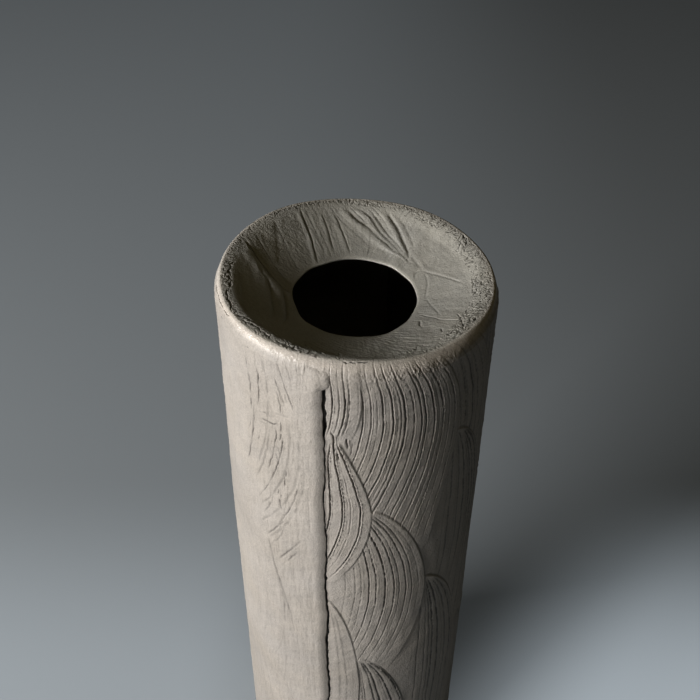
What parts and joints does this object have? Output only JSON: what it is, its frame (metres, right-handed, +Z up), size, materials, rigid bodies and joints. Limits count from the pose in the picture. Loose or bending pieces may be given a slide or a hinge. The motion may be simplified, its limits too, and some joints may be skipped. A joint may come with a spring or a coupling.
{
  "type": "flower vase",
  "caption": "Straight slab-built clay vase in the form of a bamboo section, with a lapped seam, combed wall, dished collar and small round mouth; stands on a flat foot and holds stems in water.",
  "frame": {"origin": "middle of the flat foot, on the surface that the vase stands on", "axes": "+Z up along the vase's axis, -Y to the front, where the seam lies a little to the left, +X to the right"},
  "size_m": [0.105, 0.1056, 0.3017],
  "materials": {
    "wall_clay": "bare fired clay, matte, combed",
    "collar_clay": "bare fired clay, matte, streaked",
    "floor_clay": "bare fired clay, matte",
    "slip": "fired slip, matte",
    "coil_clay": "bare fired clay, finger-smoothed"
  },
  "bodies": {
    "root": {"wall_slab": "wall_clay", "mouth_collar": "collar_clay", "floor_disc": "floor_clay", "seam_plug": "wall_clay", "seam_slip": "slip", "floor_slip": "slip", "collar_slip": "slip", "seam_coil": "coil_clay", "floor_coil": "coil_clay", "collar_coil": "coil_clay"}
  },
  "joints": []
}
